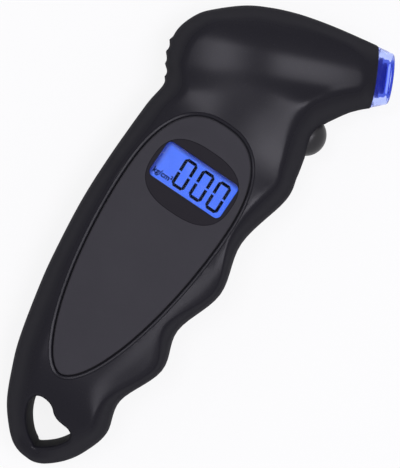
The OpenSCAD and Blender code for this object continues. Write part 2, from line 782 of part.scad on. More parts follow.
plunger_gap = 0.05;
plunger_room = 0.4;
switch_low = half_t - switch_w / 2;
plunger_back = switch_face - plunger_in;
switch_at = [switch_face - switch_l / 2, button_y];
module tact_switch() color("#2b2b2e") placed() difference() {
    block(switch_at, [switch_l, switch_w], switch_low, board_z);
    button_disc(plunger_d / 2 + plunger_gap, plunger_back - button_travel - plunger_room, button_x);
}

module switch_plunger() color("#e8e4d8") placed()
    button_disc(plunger_d / 2, plunger_back, switch_face + plunger_out);

coin_rim = 2.5;
coin_l = cap_d - 2 * coin_rim;
coin_deep = 0.9;
module battery_cap() color("#232327") placed() difference() {
    union() {
        disc(cell_at, cap_r, cap_sink, cap_in_z);
        disc(cell_at, neck_r, cap_in_z, lug_z + lug_t);
        for (hand = [0, 1]) lug(hand, neck_r + lug_out, 0, lug_z, lug_z + lug_t);
    }
    disc(cell_at, well_r, cap_in_z, lug_z + lug_t + cut_over);
    block(cell_at, [coin_l, coin_w], cap_sink - cut_over, cap_sink + coin_deep);
}

seal_ease = 0.03;
seal_sides = 24;
seal_r = ring_gap / 2 - seal_ease;
module cap_seal() color("#151517") placed()
    translate([cell_at.x, cell_at.y, cap_in_z + ring_gap / 2]) rotate_extrude()
        translate([(neck_r + cap_r) / 2, 0]) circle(r = seal_r, $fn = seal_sides);

contact_inset = 0.6;
contact_r = cell_d / 2 - contact_inset;
module cap_contact() color("#cfa84e") placed() disc(cell_at, contact_r, cap_in_z, cap_in_z + contact_t);

cell_edge = 0.5;
cell_step = 0.25;
cell_gap = 0.04;
module button_cells() color("#c3c6ca") placed() for (i = [0:cell_count - 1]) {
    low = cells_z + i * cell_h;
    disc(cell_at, cell_d / 2 - cell_edge, low, low + cell_step);
    disc(cell_at, cell_d / 2, low + cell_step, low + cell_h - cell_gap);
}

leaf_t = 0.25;
leaf_tip_r = 1.6;
leaf_r = 4.2;
module top_contact() color("#cfa84e") placed() translate([cell_at.x, cell_at.y, 0])
    rotate_extrude() polygon([
        [0, board_z], [leaf_r, board_z], [leaf_r, board_z - leaf_t], [leaf_tip_r, cells_top], [0, cells_top]
    ]);

cross_w = 0.7;
cross_deep = 0.9;
cross_share = 0.7;
module screw(at, head_r, head_h, r, low, top) {
    difference() {
        union() {
            disc(at, head_r, low, low + head_h);
            disc(at, r, low + head_h, top);
        }
        for (turn = [0, 90]) translate([at.x, at.y, low - cut_over]) rotate([0, 0, turn])
            block([0, 0], [2 * head_r * cross_share, cross_w], 0, cut_over + cross_deep);
    }
}
module case_screws() color("#a4a6a8") placed() for (p = post_points)
    screw(p, screw_head_d / 2, head_t, screw_d / 2, screw_sink, screw_top);

module board_screws() color("#a4a6a8") placed() for (p = board_points)
    screw(p, board_head_d / 2, board_head_t, board_screw_d / 2, board_z - board_head_t, roof_z - tip_room);

front_shell();
rear_shell();
face_panel();
display_lens();
lcd_glass();
lcd_frame();
backlight();
zebra_strips();
main_board();
controller_chip();
board_parts();
pressure_sensor();
air_tube();
nozzle_barrel();
nozzle_tip();
valve_seal();
depressor_pin();
nozzle_leds();
led_wires();
trigger_button();
tact_switch();
switch_plunger();
battery_cap();
cap_seal();
cap_contact();
button_cells();
top_contact();
case_screws();
board_screws();
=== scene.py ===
# Digital tire pressure gauge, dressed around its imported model.
# Meshes are drawn in millimetres on the drawing's own axes, and moved into the frame when they are done.
import math

import bmesh
import bpy
from mathutils import Matrix, Vector
from mathutils.bvhtree import BVHTree


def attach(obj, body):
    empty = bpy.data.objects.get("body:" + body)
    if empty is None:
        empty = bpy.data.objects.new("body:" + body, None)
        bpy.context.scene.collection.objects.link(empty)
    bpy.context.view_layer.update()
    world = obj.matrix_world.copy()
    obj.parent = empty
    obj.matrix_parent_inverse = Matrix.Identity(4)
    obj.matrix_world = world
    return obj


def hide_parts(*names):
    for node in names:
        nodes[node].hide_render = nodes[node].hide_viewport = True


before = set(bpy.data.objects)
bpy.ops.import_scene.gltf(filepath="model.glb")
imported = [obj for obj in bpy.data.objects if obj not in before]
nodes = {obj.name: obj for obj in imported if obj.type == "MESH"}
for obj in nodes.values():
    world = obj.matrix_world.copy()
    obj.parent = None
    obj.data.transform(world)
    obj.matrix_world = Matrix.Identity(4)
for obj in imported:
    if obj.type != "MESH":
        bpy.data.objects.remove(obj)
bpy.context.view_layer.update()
scene = bpy.context.scene
print("frame loaded with", len(nodes), "nodes")

mm = 0.001
drawing = {
    "origin": (3.25832, -6.17096),  # the frame's origin on the drawing
    "bodyT": 28.0,
    "roofZ": 24.8,                  # inside of the front wall, where the display glass ends
    "pocketZ": 26.4,                # floor of the panel's pocket
    "faceZ": 27.9,                  # face of the panel
    "farOff": 40.0,                 # distance from the parting plane at which a probing ray starts
    "past": 1.0,                    # by which a cutting tool reaches beyond what it cuts
    "weld": 1e-4,                   # points that are closer than this become one
}
halfT = drawing["bodyT"] / 2
past = drawing["past"]
toFrame = Matrix.Scale(mm, 4) @ Matrix.Translation((-drawing["origin"][0], -drawing["origin"][1], 0))


# Camera, straight above the gauge as it lies on its back
photoView = {
    "centre": (7.18, 3.40),  # point of the frame under the picture's middle, mm
    "turn": 34.0,            # turn of the picture about the vertical, degrees
    "level": 14.0,           # height at which the scale holds, mm
    "distance": 430.0,
    "tall": 129.95,          # height of the picture at that level, mm
}


def addCamera(look):
    data = bpy.data.cameras.new("photoCamera")
    data.lens = data.sensor_width * look["distance"] / look["tall"]
    camera = bpy.data.objects.new("photoCamera", data)
    camera.location = Vector((*look["centre"], look["level"] + look["distance"])) * mm
    camera.rotation_euler = (0, 0, math.radians(look["turn"]))
    scene.collection.objects.link(camera)
    scene.camera = camera


addCamera(photoView)
scene.view_settings.view_transform = "Standard"
print("camera set")


# Material helpers
def hexLinear(code):
    parts = [int(code[i:i + 2], 16) / 255 for i in (1, 3, 5)]
    return [*(c / 12.92 if c <= 0.04045 else ((c + 0.055) / 1.055) ** 2.4 for c in parts), 1]


def addNode(tree, kind, inputs, **settings):
    node = tree.nodes.new("ShaderNode" + kind)
    for name, value in settings.items():
        setattr(node, name, value)
    for socket, value in inputs.items():
        if isinstance(value, bpy.types.NodeSocket):
            tree.links.new(value, node.inputs[socket])
        else:
            node.inputs[socket].default_value = value
    return node


def emptyTree(owner):
    owner.use_nodes = True
    owner.node_tree.nodes.clear()
    return owner.node_tree


# A surface with two close tones in soft patches, and a fine relief that also moves its gloss.
# patch and grain are sizes in mm, depth is the height of the relief in mm. Where dull is given, the gloss fades by
# that much towards a grazing view, as it does on a fine-grained moulding. glow is a colour and its strength.
def surface(name, dark, light, patch, grain, rough, depth, dull=0, ior=1.5, spec=0.5, metal=0, clear=0,
            glow=("#ffffff", 0), more=None):
    material = bpy.data.materials.new(name)
    tree = emptyTree(material)
    spot = addNode(tree, "TexCoord", {}).outputs["Object"]
    patches = addNode(tree, "TexNoise", {
        "Vector": spot, "Scale": 1 / (patch * mm), "Detail": 3.0, "Roughness": 0.55}).outputs["Fac"]
    grains = addNode(tree, "TexNoise", {
        "Vector": spot, "Scale": 1 / (grain * mm), "Detail": 2.0, "Roughness": 0.5}).outputs["Fac"]
    tone = addNode(tree, "Mix", {
        "Factor": patches, 6: hexLinear(dark), 7: hexLinear(light)}, data_type="RGBA")
    gloss = addNode(tree, "MapRange", {
        "Value": grains, "From Min": 0.3, "From Max": 0.7, "To Min": rough[0], "To Max": rough[1]}).outputs["Result"]
    if dull:
        facing = addNode(tree, "LayerWeight", {"Blend": 0.5})
        fade = addNode(tree, "MapRange", {
            "Value": facing.outputs["Facing"], "From Min": 0.15, "From Max": 0.7, "To Max": dull})
        gloss = addNode(tree, "Math", {0: gloss, 1: fade.outputs["Result"]}, use_clamp=True).outputs["Value"]
    relief = addNode(tree, "Bump", {"Height": grains, "Strength": 1.0, "Distance": depth * mm})
    shader = addNode(tree, "BsdfPrincipled", {
        "Base Color": tone.outputs[2], "Roughness": gloss, "Normal": relief.outputs["Normal"], "IOR": ior,
        "Specular IOR Level": spec, "Metallic": metal, "Transmission Weight": clear,
        "Emission Color": hexLinear(glow[0]), "Emission Strength": glow[1], **(more or {})})
    addNode(tree, "OutputMaterial", {"Surface": shader.outputs["BSDF"]})
    return material


# Black ABS from a spark-eroded mould: satin, with broad soft highlights and a grain that only shows close by
mouldedAbs = surface(
    "mouldedAbs", dark="#18171d", light="#1b1a20", patch=9, grain=0.35, rough=(0.22, 0.28), depth=0.001, dull=0.6,
    ior=1.53, spec=0.1)
# Dark grey ABS with a coarser matt texture: one even tone that hardly shines
mattTrimAbs = surface(
    "mattTrimAbs", dark="#333236", light="#39383c", patch=14, grain=0.4, rough=(0.58, 0.70), depth=0.012, dull=0.3,
    ior=1.53, spec=0.1)
# Acrylic lens, printed near-black behind and hard-coated with a satin face
printedAcrylic = surface(
    "printedAcrylic", dark="#1c1a1f", light="#201e23", patch=12, grain=0.5, rough=(0.40, 0.50), depth=0.002, ior=1.49,
    spec=0.06)
# Button in black ABS, finer than the case: darker, with a soft highlight
satinAbs = surface(
    "satinAbs", dark="#1c1b1e", light="#201f22", patch=5, grain=0.3, rough=(0.36, 0.44), depth=0.002, ior=1.53,
    spec=0.28)
# Battery cap in glass-filled nylon: dull black with a faintly fibrous grain
filledNylon = surface(
    "filledNylon", dark="#161617", light="#1c1c1e", patch=3, grain=0.25, rough=(0.48, 0.62), depth=0.010, ior=1.53)
# Nitrile rubber seals: deep matt black
nitrileRubber = surface(
    "nitrileRubber", dark="#0f0f10", light="#161617", patch=2, grain=0.2, rough=(0.70, 0.85), depth=0.010, ior=1.52)
# Zinc-plated steel screws: bright cool grey with fine turning marks
zincSteel = surface(
    "zincSteel", dark="#8e9194", light="#b4b6b8", patch=0.9, grain=0.15, rough=(0.28, 0.42), depth=0.004, metal=1.0)
# Nickel-plated steel of the cells: smooth silver, slightly warm
nickelSteel = surface(
    "nickelSteel", dark="#b3b2ae", light="#c9c8c4", patch=4, grain=0.25, rough=(0.20, 0.30), depth=0.002, metal=1.0)
# Turned brass pin and contacts: yellow metal with a dull bloom
turnedBrass = surface(
    "turnedBrass", dark="#b08a3c", light="#d0ab5a", patch=1.5, grain=0.2, rough=(0.26, 0.38), depth=0.003, metal=1.0)
# Glass-epoxy board under green solder mask: glossy lacquer over a faint weave
solderMask = surface(
    "solderMask", dark="#145030", light="#1c6a40", patch=2.5, grain=0.5, rough=(0.25, 0.38), depth=0.006, ior=1.55)
# Moulded chip epoxy: matt charcoal
chipEpoxy = surface(
    "chipEpoxy", dark="#151517", light="#202023", patch=1.5, grain=0.15, rough=(0.55, 0.70), depth=0.006, ior=1.55)
# Fired ceramic capacitors: tan, fine-grained, half matt
firedCeramic = surface(
    "firedCeramic", dark="#9a7d50", light="#bda071", patch=0.8, grain=0.15, rough=(0.40, 0.55), depth=0.004, ior=1.6)
# Sensor body in cream polyphenylene: opaque, half matt
sensorResin = surface(
    "sensorResin", dark="#cbc6b6", light="#ded9cb", patch=3, grain=0.25, rough=(0.42, 0.55), depth=0.005, ior=1.55)
# Silicone air tube: milky, waxy, lets a little light in
milkySilicone = surface(
    "milkySilicone", dark="#bfc4c6", light="#d6dadb", patch=3, grain=0.3, rough=(0.35, 0.48), depth=0.004, ior=1.41,
    more={"Subsurface Weight": 0.35, "Subsurface Radius": (0.002, 0.002, 0.002)})
# White ABS frame around the display glass
whiteAbs = surface(
    "whiteAbs", dark="#d2d2ce", light="#e0e0dc", patch=4, grain=0.3, rough=(0.40, 0.52), depth=0.004, ior=1.53)
# Acrylic light guide: pale, frosted
frostedAcrylic = surface(
    "frostedAcrylic", dark="#cfe0f4", light="#e6f0ff", patch=3, grain=0.2, rough=(0.50, 0.60), depth=0.004, ior=1.49)
# Layered carbon and silicone contact strips: fine dark stripes read as charcoal
carbonSilicone = surface(
    "carbonSilicone", dark="#2a2a2c", light="#4a4a4d", patch=0.5, grain=0.12, rough=(0.60, 0.75), depth=0.006,
    ior=1.41)
# PVC wire covering: red with a soft shine
wirePvc = surface(
    "wirePvc", dark="#7d1a1f", light="#9a262b", patch=2, grain=0.2, rough=(0.35, 0.48), depth=0.003, ior=1.53)
# Clear epoxy of the nozzle lights, faintly blue
lightEpoxy = surface(
    "lightEpoxy", dark="#8fa6ff", light="#b4c4ff", patch=1, grain=0.2, rough=(0.10, 0.20), depth=0.001, ior=1.55,
    glow=("#7f95ff", 0.8))
# Ivory nylon of the switch plunger
ivoryNylon = surface(
    "ivoryNylon", dark="#d8d3c4", light="#e8e4d8", patch=2, grain=0.2, rough=(0.42, 0.55), depth=0.004, ior=1.53)
# Segment ink of the liquid crystal: near-black blue, flat and dense
segmentInk = surface(
    "segmentInk", dark="#020514", light="#05081c", patch=2, grain=0.2, rough=(0.45, 0.55), depth=0.001, ior=1.5,
    spec=0.05)
# Polycarbonate tip with a faint blue dye: clear, its edges darker where they bend the light, with a faint painted blue
# glow for the light of the nozzle lights inside it
bluePolycarbonate = surface(
    "bluePolycarbonate", dark="#b8c6ff", light="#c2d0ff", patch=3, grain=0.8, rough=(0.03, 0.08), depth=0.0005,
    ior=1.22, clear=1.0, glow=("#3050ff", 0.05))
# The same polycarbonate at the tip's end, tinted navy: painted shade for the darkening where one looks along its wall
# and the dye adds up
endShadePolycarbonate = surface(
    "endShadePolycarbonate", dark="#1424a0", light="#1c2cac", patch=3, grain=0.8, rough=(0.03, 0.08), depth=0.0005,
    ior=1.22, clear=1.0)
# Barrel in black nylon, with the blue of the nozzle lights painted in: a navy colour and a painted glow all over it,
# for the light that falls on it where it reaches into the tip
litNylon = surface(
    "litNylon", dark="#040624", light="#080c30", patch=2, grain=0.25, rough=(0.34, 0.46), depth=0.004, ior=1.53,
    spec=0.04, glow=("#060c98", 0.4))
# Clear acrylic of the window, with an anti-glare coat that takes most of its reflection away, hence the low IOR
clearAcrylic = surface(
    "clearAcrylic", dark="#f4f6ff", light="#ffffff", patch=10, grain=1.0, rough=(0.0, 0.03), depth=0.0004, ior=1.1,
    clear=1.0)


# Backlit liquid crystal: even blue, with painted shade towards its upper and left edges, where the frame shades it
display = {
    "centre": (0.9, 8.35),
    "size": (22.9, 10.7),
    "corner": 1.5,
    "bright": "#4070f3",
    "shaded": "#1b2f86",
    "topShade": 1.3,          # width of the painted shade below the upper edge, mm
    "leftShade": 1.8,
    "mottle": 4.0,            # size of the faint patches, mm
    "uneven": (0.94, 1.04),   # and their range of brightness
    "cell": "#0a1230",        # the glass without its light
    "frontPlay": 0.4,         # by which the opening in the front shell is wider
    "frontOver": 0.5,         # and by which its tool reaches over the pocket's floor
}


def litDisplay(look):
    material = bpy.data.materials.new("backlitCrystal")
    tree = emptyTree(material)
    left = toFrame @ Vector((look["centre"][0] - look["size"][0] / 2, look["centre"][1] + look["size"][1] / 2, 0))
    spot = addNode(tree, "TexCoord", {}).outputs["Object"]
    axes = addNode(tree, "SeparateXYZ", {"Vector": spot})
    # the glow dims towards the upper and left edges: painted shade of the frame
    fromTop = addNode(tree, "MapRange", {
        "Value": axes.outputs["Y"], "From Min": left.y, "From Max": left.y - look["topShade"] * mm},
        interpolation_type="SMOOTHSTEP")
    fromLeft = addNode(tree, "MapRange", {
        "Value": axes.outputs["X"], "From Min": left.x, "From Max": left.x + look["leftShade"] * mm},
        interpolation_type="SMOOTHSTEP")
    both = addNode(tree, "Math", {0: fromTop.outputs["Result"], 1: fromLeft.outputs["Result"]},
                   operation="MULTIPLY")
    mottle = addNode(tree, "TexNoise", {"Vector": spot, "Scale": 1 / (look["mottle"] * mm), "Detail": 1.0})
    even = addNode(tree, "MapRange", {
        "Value": mottle.outputs["Fac"], "To Min": look["uneven"][0], "To Max": look["uneven"][1]})
    level = addNode(tree, "Math", {0: both.outputs["Value"], 1: even.outputs["Result"]}, operation="MULTIPLY")
    tone = addNode(tree, "Mix", {
        "Factor": level.outputs["Value"], 6: hexLinear(look["shaded"]), 7: hexLinear(look["bright"])}, data_type="RGBA")
    shader = addNode(tree, "BsdfPrincipled", {
        "Base Color": hexLinear(look["cell"]), "Roughness": 0.35, "IOR": 1.52, "Specular IOR Level": 0.2,
        "Emission Color": tone.outputs[2], "Emission Strength": 1.0})
    addNode(tree, "OutputMaterial", {"Surface": shader.outputs["BSDF"]})
    return material


backlitCrystal = litDisplay(display)
print("materials made")


# Studio: pale floor, three compact boxes at the sides, two broad fills and a dim room
studio = {
    "floorSize": 3.0,
    "floorWhite": "#f4f4f4",
    "floorLift": 0.85,     # share of plain white in the floor where it is seen, the rest takes the shadow
    "roomGrey": "#d6d5de",
    "roomLevel": 0.52,
    "lampWhite": "#f4f1fc",
    "lamps": {             # place in m, size in m, power in W; none is straight above, so flat faces stay dark
        "rightBox": {"at": (0.250, 0.139, 0.851), "size": (0.22, 0.30), "power": 2.6},
        "leftBox": {"at": (-0.205, -0.006, 0.877), "size": (0.20, 0.22), "power": 1.6},
        "lowBox": {"at": (0.245, -0.105, 0.851), "size": (0.18, 0.22), "power": 1.0},
        "topFill": {"at": (-0.46, 0.68, 0.57), "size": (0.80, 0.80), "power": 0.6},
        "frontFill": {"at": (0.46, -0.68, 0.57), "size": (0.80, 0.80), "power": 0.6},
    },
}


def seenDirectly(tree, share):  # by the camera, in a reflection or through a clear piece
    path = addNode(tree, "LightPath", {})
    seen = path.outputs["Is Camera Ray"]
    for ray in ("Is Glossy Ray", "Is Transmission Ray"):
        seen = addNode(tree, "Math", {0: seen, 1: path.outputs[ray]}, operation="MAXIMUM").outputs["Value"]
    return addNode(tree, "Math", {0: seen, 1: share}, operation="MULTIPLY").outputs["Value"]


def addStudio(look):
    bm = bmesh.new()
    bmesh.ops.create_grid(bm, x_segments=2, y_segments=2, size=look["floorSize"] / 2)
    data = bpy.data.meshes.new("floor")
    bm.to_mesh(data)
    bm.free()
    floor = bpy.data.objects.new("floor", data)
    scene.collection.objects.link(floor)
    paper = bpy.data.materials.new("whitePaper")
    tree = emptyTree(paper)
    matt = addNode(tree, "BsdfDiffuse", {"Color": hexLinear(look["floorWhite"])})
    plain = addNode(tree, "Emission", {"Color": (1, 1, 1, 1), "Strength": 1.0})
    mixed = addNode(tree, "MixShader", {
        "Fac": seenDirectly(tree, look["floorLift"]), 1: matt.outputs["BSDF"], 2: plain.outputs["Emission"]})
    addNode(tree, "OutputMaterial", {"Surface": mixed.outputs["Shader"]})
    data.materials.append(paper)

    for name, lamp in look["lamps"].items():
        light = bpy.data.lights.new(name, "AREA")
        light.shape = "RECTANGLE"
        light.size, light.size_y = lamp["size"]
        light.energy = lamp["power"]
        light.color = hexLinear(look["lampWhite"])[:3]
        holder = bpy.data.objects.new(name, light)
        holder.location = lamp["at"]
        holder.rotation_euler = (-Vector(lamp["at"])).to_track_quat("-Z", "Y").to_euler()
        scene.collection.objects.link(holder)

    room = bpy.data.worlds.new("room")
    scene.world = room
    tree = emptyTree(room)
    dim = addNode(tree, "Background", {"Color": hexLinear(look["roomGrey"]), "Strength": look["roomLevel"]})
    white = addNode(tree, "Background", {"Color": (1, 1, 1, 1), "Strength": 1.0})
    mixed = addNode(tree, "MixShader", {
        "Fac": seenDirectly(tree, 1.0), 1: dim.outputs["Background"], 2: white.outputs["Background"]})
    addNode(tree, "OutputWorld", {"Surface": mixed.outputs["Shader"]})


addStudio(studio)
print("studio lit")


# Mesh helpers, all in mm on the drawing
def asObject(name, bm):
    bmesh.ops.recalc_face_normals(bm, faces=bm.faces)
    data = bpy.data.meshes.new(name)
    bm.to_mesh(data)
    bm.free()
    piece = bpy.data.objects.new(name, data)
    scene.collection.objects.link(piece)
    return piece


def ringSolid(name, rings):  # closed solid through rings of equal length
    bm = bmesh.new()
    loops = [[bm.verts.new(p) for p in ring] for ring in rings]
    for low, high in zip(loops, loops[1:]):
        for i in range(len(low)):
            j = (i + 1) % len(low)
            bm.faces.new((low[i], low[j], high[j], high[i]))
    bm.faces.new(loops[0])
    bm.faces.new(loops[-1])
    return asObject(name, bm)


def turnedSolid(name, profile, axis, sides=96):  # profile of (radius, height) points, turned about the axis
    bm = bmesh.new()
    rings = []
    for i in range(sides):
        a = 2 * math.pi * (i + 0.5) / sides  # half a step on, so no corner lies on the parting plane
        rings.append([bm.verts.new(axis @ Vector((r * math.cos(a), r * math.sin(a), s))) for r, s in profile])
    count = len(profile)
    for i in range(sides):
        here, there = rings[i], rings[(i + 1) % sides]
        for j in range(count):
            k = (j + 1) % count
            if profile[j][0] > 0 or profile[k][0] > 0:
                bm.faces.new((here[j], there[j], there[k], here[k]))
    bmesh.ops.remove_doubles(bm, verts=bm.verts, dist=1e-5)
    return asObject(name, bm)


def flared(points, steps):  # rings of an outline, each grown outwards by a step's share and set at its height
    count = len(points)
    normals = []
    for i in range(count):
        along = (Vector(points[(i + 1) % count]) - Vector(points[i - 1])).normalized()
        normals.append(Vector((along.y, -along.x)))
    return [[(*(Vector(p) + n * grow), z) for p, n in zip(points, normals)] for grow, z in steps]


def quarterTurn(steps):
    return [math.radians(90 * i / steps) for i in range(steps + 1)]


def throughPoints(a, b, c, d, f):  # smooth curve from b to c, with the neighbours a and d
    return b + f / 2 * ((c - a) + f * ((2 * a - 5 * b + 4 * c - d) + f * (3 * (b - c) + d - a)))


def joinShapes(name, pieces):
    bm = bmesh.new()
    for piece in pieces:
        bm.from_mesh(piece.data)
        bpy.data.objects.remove(piece)
    return asObject(name, bm)


def finalMesh(piece):
    return bpy.data.meshes.new_from_object(piece.evaluated_get(bpy.context.evaluated_depsgraph_get()))


def carve(body, steps):  # steps of ("DIFFERENCE" or "UNION", tool), each tool used up
    for kind, tool in steps:
        change = body.modifiers.new(tool.name, "BOOLEAN")
        change.operation = kind
        change.solver = "EXACT"
        change.object = tool
    carved = finalMesh(body)
    body.modifiers.clear()
    body.data = carved
    for kind, tool in steps:
        bpy.data.objects.remove(tool)
    return body


def dress(piece, material, body, replaced=(), crease=35):
    bm = bmesh.new()
    bm.from_mesh(piece.data)
    bmesh.ops.remove_doubles(bm, verts=bm.verts, dist=drawing["weld"])
    bmesh.ops.dissolve_degenerate(bm, edges=bm.edges, dist=drawing["weld"])
    bmesh.ops.delete(bm, geom=[e for e in bm.edges if e.is_wire], context="EDGES")
    slits = [e for e in bm.edges if e.is_boundary]
    if slits:  # slivers that the carving left open are closed
        bmesh.ops.holes_fill(bm, edges=slits, sides=6)
    bmesh.ops.transform(bm, matrix=toFrame, verts=bm.verts)
    for face in bm.faces:
        face.smooth = True
    for edge in bm.edges:
        edge.smooth = len(edge.link_faces) == 2 and edge.calc_face_angle() < math.radians(crease)
    bm.to_mesh(piece.data)
    bm.free()
    piece.data.materials.clear()
    piece.data.materials.append(material)
    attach(piece, body)
    if replaced:
        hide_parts(*replaced)
    return piece


def surfaceTree(shell):
    bm = bmesh.new()
    bm.from_mesh(shell.data)
    tree = BVHTree.FromBMesh(bm)
    bm.free()
    return tree


def heightAt(tree, x, y, face):  # of the shell's outside, seen from the front (1) or from behind (-1)
    return tree.ray_cast(Vector((x, y, halfT + face * drawing["farOff"])), Vector((0, 0, -face)))[0].z


# Case: one loft, cut at the parting plane into two shells
case = {
    # back x, back y, finger x, finger y, share of the half thickness, flat share at the back, fullness of the shoulder,
    # flat share inside and at the fingers' rear, flat share at the fingers' front, width of the domed border there
    "rows": [
        (2.9, -80.7, 7.1, -81, 0.2, 0.2, 0.16, 0.2, 0.2, 0),
        (-0.7, -79.2, 10.6, -79.4, 0.42, 0.26, 0.2, 0.3, 0.26, 0),
        (-4.4, -75.8, 14.8, -75.5, 0.56, 0.3, 0.2, 0.34, 0.3, 0),
        (-8.4, -70.5, 17.8, -70.5, 0.76, 0.34, 0.2, 0.38, 0.36, 0),
        (-11.9, -63, 19.9, -63, 0.93, 0.38, 0.2, 0.42, 0.6, 5),
        (-15, -54.5, 18, -53.4, 1, 0.42, 0.15, 0.46, 0.75, 10.5),
        (-18.4, -40, 22.9, -40, 1, 0.56, 0.1, 0.6, 0.87, 13),
        (-20.2, -29.5, 20.35, -28.4, 1, 0.64, 0.1, 0.7, 0.79, 8.5),
        (-22, -13.5, 24.5, -13.5, 1, 0.7, 0.1, 0.78, 0.89, 10.5),
        (-22.4, 1.5, 21.5, 1.5, 1, 0.72, 0.1, 0.82, 0.8, 0),
        (-22, 18.5, 24.95, 18, 1, 0.62, 0.1, 0.8, 0.64, 0),
        (-21.3, 27, 24, 25.3, 1, 0.52, 0, 0.74, 0.52, 0),
        (-25, 33.5, 22.75, 30.9, 1, 0.5, 0, 0.66, 0.5, 0),
        (-26.5, 40.5, 21.6, 36.4, 0.99, 0.52, 0, 0.58, 0.52, 0),
        (-24.4, 47, 21.7, 40.5, 0.97, 0.5, 0, 0.52, 0.5, 0),
        (-20.6, 51.5, 22.5, 42.6, 0.95, 0.42, 0, 0.46, 0.42, 0),
        (-14.4, 56.8, 23.6, 44.5, 0.92, 0.34, 0, 0.4, 0.34, 0),
        (-8.2, 60.2, 24.8, 46.5, 0.87, 0.26, 0, 0.33, 0.26, 0),
        (-1.9, 62.7, 26, 48.3, 0.82, 0.24, 0, 0.26, 0.24, 0),
        (4.4, 64.5, 27.1, 49.6, 0.77, 0.22, 0, 0.18, 0.22, 0),
        (10.6, 65.9, 28.1, 50.7, 0.715, 0.18, 0, 0.1, 0.18, 0),
        (16.9, 67.1, 29, 51.6, 0.665, 0.1, 0, 0.04, 0.1, 0),
    ],
    "domeR": 30.0, "domeRun": 6.0,  # its radius, and the width after which it runs on straight
    "rowSteps": 7,             # rings for each row, and points around a ring
    "turnSteps": 16,
    "flatSteps": 16,
    "leastFlat": 0.15,
    "wall": 2.2,
    "thin": 1.0,
    "cavity": (5.23, 18.57),   # rows between which the inside is hollow
    "cavitySteps": 60,
    "cavityLip": 1.0,          # by which the hollow reaches past the parting plane
    "seam": 0.16,              # chamfer that shows as the parting line
    "seamShare": 0.125,        # the most of the height that it takes
    "ribs": {"from": 10.9, "to": 12.76, "count": 4, "high": 0.65, "steps": 14, "fade": 8},
    "tailRound": 0.6,          # rows over which the tail's end closes
    "tailStart": 0.08,
    "tailSteps": 40,           # rings for each row there, along half a row
    "mouthRound": 0.35,
    "mouthSteps": 5,
    "mouthFree": 0.12,         # part of the last row that is left to the rounding
}
nozzle = {
    "mouth": (26.1, 60.3), "angle": 27.0, "r": 8.7,
    "boreR": 5.65, "boreEnds": (-24, 1),         # places are measured outwards from the mouth
    "collarR": 6.4, "collarEnds": (-9.1, -7.4),
    "lightR": 1.05, "lightEnds": (-15, 1),       # holes of the two lights
    "lightRing": 7.1, "lightTurn": 35,
}
nozzleTurn = math.radians(nozzle["angle"])
nozzleDir = Vector((math.cos(nozzleTurn), math.sin(nozzleTurn)))
nozzleSide = Vector((-nozzleDir.y, nozzleDir.x))
nozzleMouth = Vector(nozzle["mouth"])
nozzleAxis = (Matrix.Translation((*nozzle["mouth"], halfT)) @ Matrix.Rotation(nozzleTurn, 4, "Z")
              @ Matrix.Rotation(math.radians(90), 4, "Y"))
mouthBack, mouthUnder = nozzleMouth + nozzleSide * nozzle["r"], nozzleMouth - nozzleSide * nozzle["r"]
caseRows = case["rows"] + [(*mouthBack, *mouthUnder, nozzle["r"] / halfT, 0, 0, 0, 0, 0)]
lastRow = len(caseRows) - 1


def rowAt(t):
    k = min(int(t), lastRow - 1)
    f = t - k
    quad = (caseRows[max(k - 1, 0)], caseRows[k], caseRows[k + 1], caseRows[min(k + 2, lastRow)])
    return [throughPoints(a, b, c, d, f) for a, b, c, d in zip(*quad)]


def ribAt(t):
    ribs = case["ribs"]
    place = (t - ribs["from"]) / (ribs["to"] - ribs["from"])
    if place <= 0 or place >= 1:
        return 0
    return ribs["high"] * (1 - abs(math.cos(math.pi * ribs["count"] * place)))  # pointed crests, round valleys


# Front of the head: a crest along the nozzle, which runs out into a neck that is arched across the grip.
# u runs along the crest from its highest point, v across it, both in mm. All drops are below the face of the case.
head = {
    "crestTop": 32.6,                    # highest point of the crest, measured back from the mouth
    "turn": -0.0625,                     # slope of the crest's line against the nozzle's axis
    "backR": 93.0, "frontR": 74.4,       # radii along the crest, on both sides of its highest point
    "slopeFrom": 8.95, "bend": 0.0023,   # where its front becomes a slope, and how that steepens
    "ridge": 1.05, "upperR": 40.5,       # where its upper side begins to round off
    "fall": 0.21, "fallAt": (-3.4, 3.7),  # step from its upper to its lower side
    "meet": (4.2, 12.6),                 # stretch below the crest over which the neck takes over
    "neckX": 0.0, "leftR": 98.0, "rightR": 115.0, "step": 0.21,  # arch of the neck
    "rise": (0.0546, 0.09), "riseFrom": (20.0, 28.0),  # its slope up towards the crest, on the left and on the right
    "riseAcross": (-4.0, 10.0), "riseEase": 8.0,
    "neckFrom": 2.0, "neckTo": 27.0,     # stretch of the grip over which the neck sets in
    "blend": 0.6,
    "lift": 0.1, "liftRows": (12, 15, 20, 22),  # added to the rows' thickness, so that the crest decides the height
}


def easeBetween(low, high, value):
    f = min(max((value - low) / (high - low), 0), 1)
    return f * f * (3 - 2 * f)


def neckShare(p):
    return easeBetween(head["neckFrom"], head["neckTo"], p.y)


